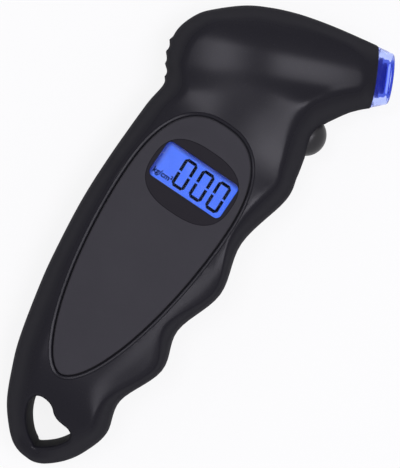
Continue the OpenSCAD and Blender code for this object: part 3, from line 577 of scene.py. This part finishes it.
def headHeight(p):
    place = p - nozzleMouth
    u = place.dot(nozzleDir) + head["crestTop"]
    v = place.dot(nozzleSide) - head["turn"] * u
    run, past = min(u, head["slopeFrom"]), max(u - head["slopeFrom"], 0)
    along = run ** 2 / (2 * (head["backR"] if u < 0 else head["frontR"]))
    along += past * head["slopeFrom"] / head["frontR"] + head["bend"] * past ** 2
    aside, across = p.x - head["neckX"], easeBetween(*head["riseAcross"], p.x)
    rise, start = ((1 - across) * left + across * right for left, right in (head["rise"], head["riseFrom"]))
    beyond = max(p.y - start, 0)
    arch = head["step"] + aside ** 2 / (2 * (head["leftR"] if aside < 0 else head["rightR"]))
    arch -= rise * beyond ** 2 / (beyond + head["riseEase"])
    drop = along + (arch - along) * easeBetween(*head["meet"], -v)
    drop += max(v - head["ridge"], 0) ** 2 / (2 * head["upperR"]) + head["fall"] * easeBetween(*head["fallAt"], -v)
    share = neckShare(p)
    return halfT - share * drop + 2 * head["blend"] * (1 - share)


def faceDrop(p):  # how far the sculpted face lies below the plain one
    return halfT - softLower(halfT, headHeight(p), head["blend"])


def liftAt(t):
    first, full, last, gone = head["liftRows"]
    return head["lift"] * easeBetween(first, full, t) * (1 - easeBetween(last, gone, t))


def softLower(a, b, blend):  # the lower of two heights, rounded where they cross
    f = min(max(0.5 + (b - a) / (2 * blend), 0), 1)
    return b + (a - b) * f - blend * f * (1 - f)


def halfRing(t, face, inset=0, skin=0, lip=0):
    row = rowAt(t)
    back, finger = Vector(row[0:2]), Vector(row[2:4])
    across, middle = (finger - back).normalized(), (finger + back) / 2
    half = (finger - back).length / 2 - inset
    closing = min(1, case["tailStart"] + t / case["tailRound"])
    thick = min(row[4], 1) + (liftAt(t) if face > 0 and not inset else 0)
    rise = thick * halfT * math.sqrt(1 - (1 - closing) ** 2) - skin
    flats = {hand: max(half * row[7 if inset else column], case["leastFlat"])
             for hand, column in ((1, 8 if face > 0 else 7), (-1, 5))}
    rib = 0 if inset else ribAt(t)
    seam = 0 if inset else case["seam"]

    def point(hand, reach, z):
        p = middle + across * hand * reach
        if face > 0 and not inset:
            into = max(row[9] - (half - hand * reach), 0)
            run = min(into, case["domeRun"])
            dome = run * (into - run / 2) / case["domeR"]
            z = softLower(z - dome * (z / halfT) ** 2, headHeight(p), head["blend"])
        return (p.x, p.y, halfT + face * z)

    power = 2 / (2 + (0 if inset else row[6]))
    sides = {}
    for hand, bump in ((1, 0), (-1, rib)):
        edge = [point(hand, half + bump - seam, -lip)]
        if seam:
            edge.append(point(hand, half + bump, min(seam, rise * case["seamShare"])))
        for a in quarterTurn(case["turnSteps"])[1:]:
            reach = flats[hand] + (half - flats[hand]) * max(math.cos(a), 0) ** power
            edge.append(point(hand, reach + bump * math.cos(a) ** case["ribs"]["fade"], rise * math.sin(a)))
        sides[hand] = edge
    level = [point(1, flats[1] - (flats[1] + flats[-1]) * i / case["flatSteps"], rise)
             for i in range(1, case["flatSteps"])]
    return sides[1] + level + sides[-1][::-1]


def casePlaces():  # rows at which the rings stand, closer together at the tail and at the ribs
    ribs, steps, tailSteps = case["ribs"], case["rowSteps"], case["tailSteps"]
    low, high = int(ribs["from"]), math.ceil(ribs["to"])
    fine = ribs["count"] * ribs["steps"]
    tail = [i / tailSteps for i in range(tailSteps // 2)]
    plain = [i / steps for i in range(math.ceil(steps / 2), low * steps)]
    ribbed = [low + (high - low) * i / fine for i in range(fine)]
    upper = [i / steps for i in range(high * steps, lastRow * steps)]
    return tail + plain + ribbed + [t for t in upper if t < lastRow - case["mouthFree"]]


def outerHalf(name, face):
    rings = [halfRing(t, face) for t in casePlaces()]
    mouthRing = [Vector(p) for p in halfRing(lastRow, face)]
    centre = Vector((*nozzleMouth, halfT))
    out = Vector((*nozzleDir, 0))
    for a in quarterTurn(case["mouthSteps"]):  # rounded lip of the mouth
        draw = 1 - case["mouthRound"] * (1 - math.cos(a)) / nozzle["r"]
        rings.append([centre + (p - centre) * draw - out * case["mouthRound"] * (1 - math.sin(a)) for p in mouthRing])
    return ringSolid(name, rings)


def cavityHalf(face, skin, shell):  # stays a thin wall below the shell's surface, also where that dips
    (low, high), steps = case["cavity"], case["cavitySteps"]
    tree = surfaceTree(shell)
    rings = []
    for i in range(steps + 1):
        ring = []
        for x, y, z in halfRing(low + (high - low) * i / steps, face, case["wall"], skin, case["cavityLip"]):
            most = face * (heightAt(tree, x, y, face) - halfT) - case["thin"]
            ring.append((x, y, halfT + face * min(face * (z - halfT), most)))
        rings.append(ring)
    return ringSolid("cavity", rings)


# Outlines of what is let into the case
panel = {
    "x": 0.2, "w": 31.6, "up": 24.9, "down": 54.8, "upPower": 2.5, "downPower": 1.79, "gap": 0.3,
    "edge": 0.3, "edgeSteps": 6,
    "crown": 6.5, "crownSteps": 6,
    "rimLevel": 1.0,                # distance from the pocket at which the shell's height counts
    "rim": [(0, -0.7), (0.08, -0.45), (0.22, -0.33), (0.45, -0.27), (0.8, -0.24), (0.9, -0.2), (0.98, -0.06),
            (1.04, 0.08), (1.5, 1.2)],  # sunk rim of the pocket: steps outwards, and heights over the shell
}
lens = {
    "at": (0.9, 7.55), "w": 25.2, "h": 19.6, "power": 2.6, "gap": 0.04, "edge": 0.1,
    "bevel": (0.12, 0.25, 0.05),    # slope around the window: width, depth, and height over the face
    "paneGap": 0.01, "paneT": 0.8,
}


def powerPoint(a, w, h, n):
    c, s = math.cos(a), math.sin(a)
    return (w * math.copysign(abs(c) ** (2 / n), c), h * math.copysign(abs(s) ** (2 / n), s))


def evenly(points, count):  # the same closed outline, at equal steps along it
    loop = [Vector(p) for p in points] + [Vector(points[0])]
    reach = [0]
    for a, b in zip(loop, loop[1:]):
        reach.append(reach[-1] + (b - a).length)
    even, k = [], 0
    for i in range(count):
        want = reach[-1] * i / count
        while reach[k + 1] < want:
            k += 1
        even.append(loop[k].lerp(loop[k + 1], (want - reach[k]) / max(reach[k + 1] - reach[k], 1e-9)))
    return even


def eggOutline(grow, count=240):
    fine = 1440
    dots = []
    for i in range(fine):
        a = 2 * math.pi * i / fine
        upper = i < fine / 2
        dots.append(powerPoint(a, panel["w"] / 2 + grow, (panel["up"] if upper else panel["down"]) + grow,
                               panel["upPower"] if upper else panel["downPower"]))
    return [p + Vector((panel["x"], 0)) for p in evenly(dots, count)]


def lensOutline(grow, count=160):
    fine = 960
    dots = [powerPoint(2 * math.pi * i / fine, lens["w"] / 2 + grow, lens["h"] / 2 + grow, lens["power"])
            for i in range(fine)]
    return [p + Vector(lens["at"]) for p in evenly(dots, count)]


def roundedBox(centre, size, r, steps=8):
    dots = []
    for sx, sy, start in ((1, 1, 0), (-1, 1, 90), (-1, -1, 180), (1, -1, 270)):
        for i in range(steps + 1):
            a = math.radians(start + 90 * i / steps)
            dots.append(Vector((centre[0] + sx * (size[0] / 2 - r) + r * math.cos(a),
                                centre[1] + sy * (size[1] / 2 - r) + r * math.sin(a))))
    return dots


def windowOutline():
    return roundedBox(display["centre"], display["size"], display["corner"])


def rod(low, high, r):
    return [(0, low), (r, low), (r, high), (0, high)]


def disc(centre, r, low, high, sides=64):
    return turnedSolid("disc", rod(low, high, r), Matrix.Translation((*centre, 0)), sides)


# Keyring eye: a lopsided heart with softly rounded rims
eye = {
    "at": (4.75, -69.55),
    "marks": [(0.95, -6.35), (4.35, -3.85), (6.45, -1.25), (7.25, 0.65), (6.85, 2.15), (5.55, 2.95), (3.85, 3.15),
              (1.85, 3.45), (0.15, 4.25), (-1.15, 5.45), (-2.85, 6.25), (-5.35, 6.35), (-6.95, 5.25), (-7.25, 2.95),
              (-6.25, 0.15), (-4.65, -2.35), (-2.35, -4.65), (-0.25, -5.95)],
    "markSteps": 12,
    "rim": 1.5, "rimSteps": 8, "rimTurn": 10,  # radius of the rim, and its steps of so many degrees
    "proud": 0.06,                             # by which the rim's circle stands over the surface
    "past": 0.6, "above": 3,                   # by which the tool reaches beyond the rim
}


def eyeOutline(count=150):
    marks = [Vector(p) + Vector(eye["at"]) for p in eye["marks"]]
    total, steps = len(marks), eye["markSteps"]
    dots = []
    for k in range(total):
        near = (marks[k - 1], marks[k], marks[(k + 1) % total], marks[(k + 2) % total])
        dots += [throughPoints(*near, i / steps) for i in range(steps)]
    return evenly(dots, count)


def eyeTool(shell, face):  # follows the shell's own height, so that the rim is equally round all the way
    tree = surfaceTree(shell)
    outline = eyeOutline()
    rings = [[(p.x, p.y, halfT - face * past) for p in outline]]
    for i in range(eye["rimSteps"]):
        a = math.radians(eye["rimTurn"] * i)
        out, down = eye["rim"] * (1 - math.cos(a)), eye["rim"] * (1 - math.sin(a))
        rings.append([(x, y, heightAt(tree, x, y, face) + face * (eye["proud"] - down))
                      for x, y, z in flared(outline, [(out, 0)])[0]])
    over = flared(outline, [(eye["rim"] + eye["past"], 0)])[0]
    rings.append([(x, y, low[2] + face * eye["above"]) for (x, y, z), low in zip(over, rings[-1])])
    return ringSolid("eye", rings)


# Button and screws, which both halves of the case make room for
button = {
    "y": 36.4, "r": 5.5, "gap": 0.15,                             # the other places run along x
    "flangeR": 6.2, "flangeIn": 18.7, "flangeOut": 19.9, "flangePlay": 0.4,
    "travel": 1.2, "seatPlay": 0.1, "holeEnd": 30,                # room behind the flange, and in front of it
    "stemR": 2.05, "stemEnd": 16.7, "base": 21.3, "tip": 25.2, "domeSteps": 24,
}
buttonAxis = Matrix.Translation((0, button["y"], halfT)) @ Matrix.Rotation(math.radians(90), 4, "Y")
screws = {
    "case": [(-13, 44.6), (15, 23.5), (-8.5, -46.3), (11.5, -46.3)],
    "caseBossR": 3.2, "caseHoleR": 1.1, "caseHoleTop": 19.1,
    "counterbore": [(0, -1), (3.45, -1), (2.15, 0.6), (2.15, 8.1), (1.25, 8.1), (1.25, 15), (0, 15)],
    "board": [(sx * 12.5, y) for sx in (-1, 1) for y in (-12.2, 30.5)],
    "boardBossR": 2.1, "boardBossLow": 21.2, "boardHoleR": 0.9, "boardHoleLow": 20.2,
    "overlap": 0.1,                                               # by which a boss reaches into its wall
}


def sharedCuts(shell, face):  # what is cut out of both halves
    deep, seat = button["flangeIn"] - button["travel"], button["flangeOut"] + button["seatPlay"]
    wide, narrow = button["flangeR"] + button["flangePlay"], button["r"] + button["gap"]
    bore, collar = nozzle["boreR"], nozzle["collarR"]
    (inner, outer), (low, high) = nozzle["boreEnds"], nozzle["collarEnds"]
    return [
        ("DIFFERENCE", eyeTool(shell, face)),
        ("DIFFERENCE", turnedSolid("buttonHole", [
            (0, deep), (wide, deep), (wide, seat), (narrow, seat), (narrow, button["holeEnd"]), (0, button["holeEnd"])],
            buttonAxis)),
        ("DIFFERENCE", turnedSolid("nozzleBore", [
            (0, inner), (bore, inner), (bore, low), (collar, low), (collar, high), (bore, high), (bore, outer),
            (0, outer)], nozzleAxis)),
    ]


def frontShell():
    shell = outerHalf("frontShell", 1)
    tree = surfaceTree(shell)
    outline = eggOutline(0)
    tops = [heightAt(tree, x, y, 1) for x, y, z in flared(outline, [(panel["gap"] + panel["rimLevel"], 0)])[0]]
    rings = flared(outline, [(panel["gap"], drawing["pocketZ"])])
    for out, up in panel["rim"]:
        ring = flared(outline, [(panel["gap"] + out, up)])[0]
        rings.append([(x, y, top + z) for (x, y, z), top in zip(ring, tops)])
    pocket = ringSolid("pocket", rings)
    roof = drawing["roofZ"]
    window = ringSolid("window", flared(windowOutline(), [
        (display["frontPlay"], roof - past), (display["frontPlay"], drawing["pocketZ"] + display["frontOver"])]))
    lights = []
    for hand in (-1, 1):
        turn = Matrix.Rotation(math.radians(180 + nozzle["lightTurn"] * hand), 4, "Z")
        axis = nozzleAxis @ turn @ Matrix.Translation((nozzle["lightRing"], 0, 0))
        lights.append(turnedSolid("light", rod(*nozzle["lightEnds"], nozzle["lightR"]), axis, sides=32))
    cuts = sharedCuts(shell, 1)
    inside = cavityHalf(1, drawing["bodyT"] - roof, shell)
    bossTop = roof + screws["overlap"]
    bosses = joinShapes("bosses", [disc(p, screws["caseBossR"], halfT, bossTop) for p in screws["case"]]
                        + [disc(p, screws["boardBossR"], screws["boardBossLow"], bossTop) for p in screws["board"]])
    holes = joinShapes("holes", [disc(p, screws["caseHoleR"], halfT - past, screws["caseHoleTop"])
                                 for p in screws["case"]]
                       + [disc(p, screws["boardHoleR"], screws["boardHoleLow"], roof) for p in screws["board"]])
    carve(shell, [("DIFFERENCE", inside), ("UNION", bosses), ("DIFFERENCE", holes), ("DIFFERENCE", pocket),
                  ("DIFFERENCE", window), *cuts, ("DIFFERENCE", joinShapes("lights", lights))])
    return dress(shell, mouldedAbs, "case", ["front_shell"])


# Battery cap, and the well that it closes in the rear shell
cap = {
    "at": (0, -27), "r": 8.6, "face": 0.4, "inner": 2.2, "neckR": 6.9, "wellR": 6.0, "top": 5.0,
    "edge": 0.35, "edgeCut": 0.1,                               # rounding of the outer edge, in two steps
    "lugR": 8.2, "lugIn": 0.4, "lugZ": 4.0, "lugHalf": 20, "lugStep": 4,
    "coin": (12.2, 1.7), "coinDeep": 0.9, "coinRound": 0.45,
    "coinEdge": (0.35, 0.25, 0.05), "coinPast": 0.4,            # slope around it: width, depth, height over the face
    "well": [(0, 2.1), (10.4, 2.1), (10.4, 6.4), (7.4, 6.4), (7.4, halfT), (0, halfT)],
    "recess": [(0, -1), (10.15, -1), (8.75, 0.4), (8.75, 2.9), (7.0, 2.9), (7.0, 3.9), (8.4, 3.9), (8.4, 5.2),
               (6.0, 5.2), (6.0, 15), (0, 15)],
}
capAxis = Matrix.Translation((*cap["at"], 0))


def rearShell():
    shell = outerHalf("rearShell", -1)
    cuts = sharedCuts(shell, -1)
    inside = cavityHalf(-1, case["wall"], shell)
    bosses = joinShapes("bosses", [disc(p, screws["caseBossR"], case["wall"] - screws["overlap"], halfT)
                                   for p in screws["case"]])
    well = turnedSolid("well", cap["well"], capAxis)
    recess = turnedSolid("recess", cap["recess"], capAxis)
    holes = joinShapes("holes", [turnedSolid("hole", screws["counterbore"], Matrix.Translation((*p, 0)), sides=48)
                                 for p in screws["case"]])
    carve(shell, [("DIFFERENCE", inside), ("UNION", bosses), ("UNION", well), ("DIFFERENCE", recess),
                  ("DIFFERENCE", holes), *cuts])
    return dress(shell, mouldedAbs, "case", ["rear_shell"])


frontShell()
print("front shell carved")
rearShell()
print("rear shell carved")


# Face panel and lens, with the window let into the lens
def facePanel():
    top = drawing["faceZ"]
    edge = [(-panel["edge"] * (1 - math.cos(a)), top - panel["edge"] * (1 - math.sin(a)))
            for a in quarterTurn(panel["edgeSteps"])]
    outline = eggOutline(0)
    rings = flared(outline, [(0, drawing["pocketZ"])] + edge)
    drops = [faceDrop(p) for p in outline]
    rings[1:] = [[(x, y, z - drop) for (x, y, z), drop in zip(ring, drops)] for ring in rings[1:]]
    for i in range(1, panel["crownSteps"] + 1):  # the upper end is crowned, to stay flush with the neck
        f = i / panel["crownSteps"]
        wide = [panel["edge"] + (panel["crown"] - panel["edge"]) * f * neckShare(p) for p in outline]
        inner = [flared(outline, [(-w, top)])[0][k] for k, w in enumerate(wide)]
        rings.append([(x, y, z - drop * (1 - easeBetween(0, 1, f))) for (x, y, z), drop in zip(inner, drops)])
    plate = ringSolid("facePanel", rings)
    hole = ringSolid("lensHole", flared(lensOutline(0), [
        (lens["gap"], drawing["pocketZ"] - past), (lens["gap"], top + past)]))
    carve(plate, [("DIFFERENCE", hole)])
    return dress(plate, mattTrimAbs, "case", ["face_panel"])


def displayLens():
    low, top, edge = drawing["pocketZ"], drawing["faceZ"], lens["edge"]
    plate = ringSolid("displayLens", flared(lensOutline(0), [(0, low), (0, top - edge), (-edge, top)]))
    wide, deep, over = lens["bevel"]
    opening = flared(windowOutline(), [(0, low - past), (0, top - deep), (wide, top + over), (wide, top + past)])
    carve(plate, [("DIFFERENCE", ringSolid("opening", opening))])
    dress(plate, printedAcrylic, "case", ["display_lens"])
    pane = ringSolid("windowPane", flared(windowOutline(), [
        (-lens["paneGap"], low), (-lens["paneGap"], low + lens["paneT"])]))
    dress(pane, clearAcrylic, "case")


facePanel()
displayLens()
print("panel and lens fitted")


# Reading on the display: three zeros of six segments each, and a unit
reading = {
    "lefts": (-3.87, 1.7, 7.05),  # left side of each digit at its foot
    "low": 3.93,
    "w": 4.05,
    "h": 8.57,
    "stroke": 0.88,
    "corner": 0.85,               # chamfer of the outer corners
    "slit": 0.004,                # half of the gap between neighbouring segments
    "waist": 0.55,                # gap at half height
    "slant": -0.035,
    "clear": 0.004,               # gap under the ink, and its thickness
    "lift": 0.02,
    "unit": "kg/cm",
    "unitAt": (-10.0, 4.3),
    "unitHigh": 2.2,
    "unitBold": 0.06,
    "power": "2",                 # small figure after the unit: share of its size, raised, and set off
    "powerShare": 0.6,
    "powerUp": 0.75,
    "powerGap": 0.1,
}


def zeroSegments(left, look):  # six segments, mitred at the corners
    w, h, s, g = look["w"], look["h"], look["stroke"], look["slit"]
    c, foot = look["corner"], (look["h"] + look["waist"]) / 2
    upright = [(0, foot), (0, h - c), (c / 2 - g, h - c / 2 - g), (s, h - s - 2 * g), (s, foot)]
    level = [(c / 2 + g, h - c / 2 + g), (c, h), (w - c, h), (w - c / 2 - g, h - c / 2 + g), (w - s - 2 * g, h - s),
             (s + 2 * g, h - s)]
    shapes = []
    for flipY in (False, True):
        for flipX in (False, True):
            shapes.append([((w - x) if flipX else x, (h - y) if flipY else y) for x, y in upright])
        shapes.append([(x, (h - y) if flipY else y) for x, y in level])
    return [[(left + x + look["slant"] * y, look["low"] + y) for x, y in shape] for shape in shapes]


def displayReading(look):
    base, lift = drawing["roofZ"] + look["clear"], look["lift"]
    shapes = [shape for left in look["lefts"] for shape in zeroSegments(left, look)]
    digits = joinShapes("displayDigits", [
        ringSolid("segment", [[(x, y, z) for x, y in shape] for z in (base, base + lift)]) for shape in shapes])
    dress(digits, segmentInk, "case")

    bm = bmesh.new()
    x, y = look["unitAt"]
    small = look["unitHigh"] * look["powerShare"]
    for words, high, up in ((look["unit"], look["unitHigh"], 0), (look["power"], small, look["powerUp"])):
        letters = bpy.data.curves.new("unit", "FONT")
        letters.body = words
        letters.size = high
        letters.extrude = lift / 2
        letters.offset = look["unitBold"]
        writing = bpy.data.objects.new("unit", letters)
        scene.collection.objects.link(writing)
        bpy.context.view_layer.update()
        data = finalMesh(writing)
        data.transform(Matrix.Translation((x, y + up, base + lift / 2)))
        bm.from_mesh(data)
        x = max(v.co.x for v in data.vertices) + look["powerGap"]
        bpy.data.objects.remove(writing)
    dress(asObject("displayUnit", bm), segmentInk, "case")


displayReading(reading)
print("reading drawn")


# Nozzle tip and barrel: profiles of radius and place outwards from the mouth
tip = {
    "outside": [(8.38, 0.02), (8.5, 0.14), (7.36, 3.5)],
    "corner": (6.32, 3.68),             # centre of the rounding
    "round": (0.935, 1.1), "steps": 9,  # its size across and along the axis
    "edgeFrom": 4.25, "edgeR": 4.6,     # where the end's painted navy shade begins
    "inside": [(4.5, 4.8), (4.32, 4.62), (4.32, 3.2), (4.6, 2.75), (5.1, 1.75), (5.66, 1.2), (5.66, 0.02)],
}
barrel = {
    "outside": [(5.6, -24), (5.6, -9), (6.3, -9), (6.3, -7.5), (5.6, -7.5), (5.6, 1.1), (5.02, 1.7), (4.8, 2.2),
                (4.6, 2.6)],
    "inside": [(4.42, 2.6), (4.65, 2.2), (4.65, -7), (0.9, -7), (0.9, -9), (0.7, -9), (0.7, -27.5)],
    "spigot": [(1.3, -27.5), (1.3, -24)],
}


def nozzleTip():
    (r, at), (wide, long) = tip["corner"], tip["round"]
    curve = [(r + wide * math.cos(a), at + long * math.sin(a)) for a in quarterTurn(tip["steps"])]
    profile = tip["outside"] + curve + tip["inside"]
    piece = turnedSolid("nozzleTip", profile, nozzleAxis, sides=128)
    dress(piece, bluePolycarbonate, "case", ["nozzle_tip"])
    # faces at the tip's end take the second material, the painted navy shade
    piece.data.materials.append(endShadePolycarbonate)
    toTip = (toFrame @ nozzleAxis).inverted()
    for face in piece.data.polygons:
        place = toTip @ face.center
        face.material_index = int(place.z > tip["edgeFrom"] and place.xy.length > tip["edgeR"])


def nozzleBarrel():
    profile = barrel["spigot"] + barrel["outside"] + barrel["inside"]
    piece = turnedSolid("nozzleBarrel", profile, nozzleAxis)
    return dress(piece, litNylon, "case", ["nozzle_barrel"])


def triggerButton():
    high = button["tip"] - button["base"]
    ball = (button["r"] ** 2 + high ** 2) / (2 * high)
    span = math.asin(button["r"] / ball)
    steps = button["domeSteps"]
    turns = [span * (1 - i / steps) for i in range(steps + 1)]
    dome = [(ball * math.sin(a), button["tip"] - ball * (1 - math.cos(a))) for a in turns]
    profile = [(0, button["stemEnd"]), (button["stemR"], button["stemEnd"]), (button["stemR"], button["flangeIn"]),
               (button["flangeR"], button["flangeIn"]), (button["flangeR"], button["flangeOut"]),
               (button["r"], button["flangeOut"])] + dome
    piece = turnedSolid("triggerButton", profile, buttonAxis)
    return dress(piece, satinAbs, "button", ["trigger_button"])


def batteryCap():
    face, inner, top, edge, cut = cap["face"], cap["inner"], cap["top"], cap["edge"], cap["edgeCut"]
    body = turnedSolid("batteryCap", [
        (0, face), (cap["r"] - edge, face), (cap["r"] - cut, face + cut), (cap["r"], face + edge), (cap["r"], inner),
        (cap["neckR"], inner), (cap["neckR"], top), (cap["wellR"], top), (cap["wellR"], inner), (0, inner)],
        capAxis, sides=144)
    lugs = []
    for hand in (0, 180):
        angles = [math.radians(hand + a) for a in range(-cap["lugHalf"], cap["lugHalf"] + 1, cap["lugStep"])]
        ring = []
        for r, order in ((cap["wellR"] + cap["lugIn"], 1), (cap["lugR"], -1)):
            ring += [(cap["at"][0] + r * math.cos(a), cap["at"][1] + r * math.sin(a)) for a in angles[::order]]
        lugs.append(ringSolid("lug", [[(x, y, z) for x, y in ring] for z in (cap["lugZ"], top)]))
    wide, deep, over = cap["coinEdge"]
    slot = ringSolid("coinSlot", flared(roundedBox(cap["at"], cap["coin"], cap["coin"][1] * cap["coinRound"]), [
        (wide, face - cap["coinPast"]), (wide, face - over), (0, face + deep), (0, face + cap["coinDeep"])]))
    carve(body, [("UNION", joinShapes("lugs", lugs)), ("DIFFERENCE", slot)])
    return dress(body, filledNylon, "cap", ["battery_cap"])


nozzleTip()
nozzleBarrel()
triggerButton()
batteryCap()
print("tip, button and cap turned")


# Finishes of the pieces that keep their solids
finishes = {
    "lcd_glass": backlitCrystal,
    "lcd_frame": whiteAbs,
    "backlight": frostedAcrylic,
    "zebra_strips": carbonSilicone,
    "main_board": solderMask,
    "controller_chip": chipEpoxy,
    "board_parts": firedCeramic,
    "pressure_sensor": sensorResin,
    "air_tube": milkySilicone,
    "valve_seal": nitrileRubber,
    "depressor_pin": turnedBrass,
    "nozzle_leds": lightEpoxy,
    "led_wires": wirePvc,
    "tact_switch": chipEpoxy,
    "switch_plunger": ivoryNylon,
    "cap_seal": nitrileRubber,
    "cap_contact": turnedBrass,
    "button_cells": nickelSteel,
    "top_contact": turnedBrass,
    "case_screws": zincSteel,
    "board_screws": zincSteel,
}
for name, material in finishes.items():
    nodes[name].data.materials.clear()
    nodes[name].data.materials.append(material)
print("finishes laid on", len(finishes), "nodes")
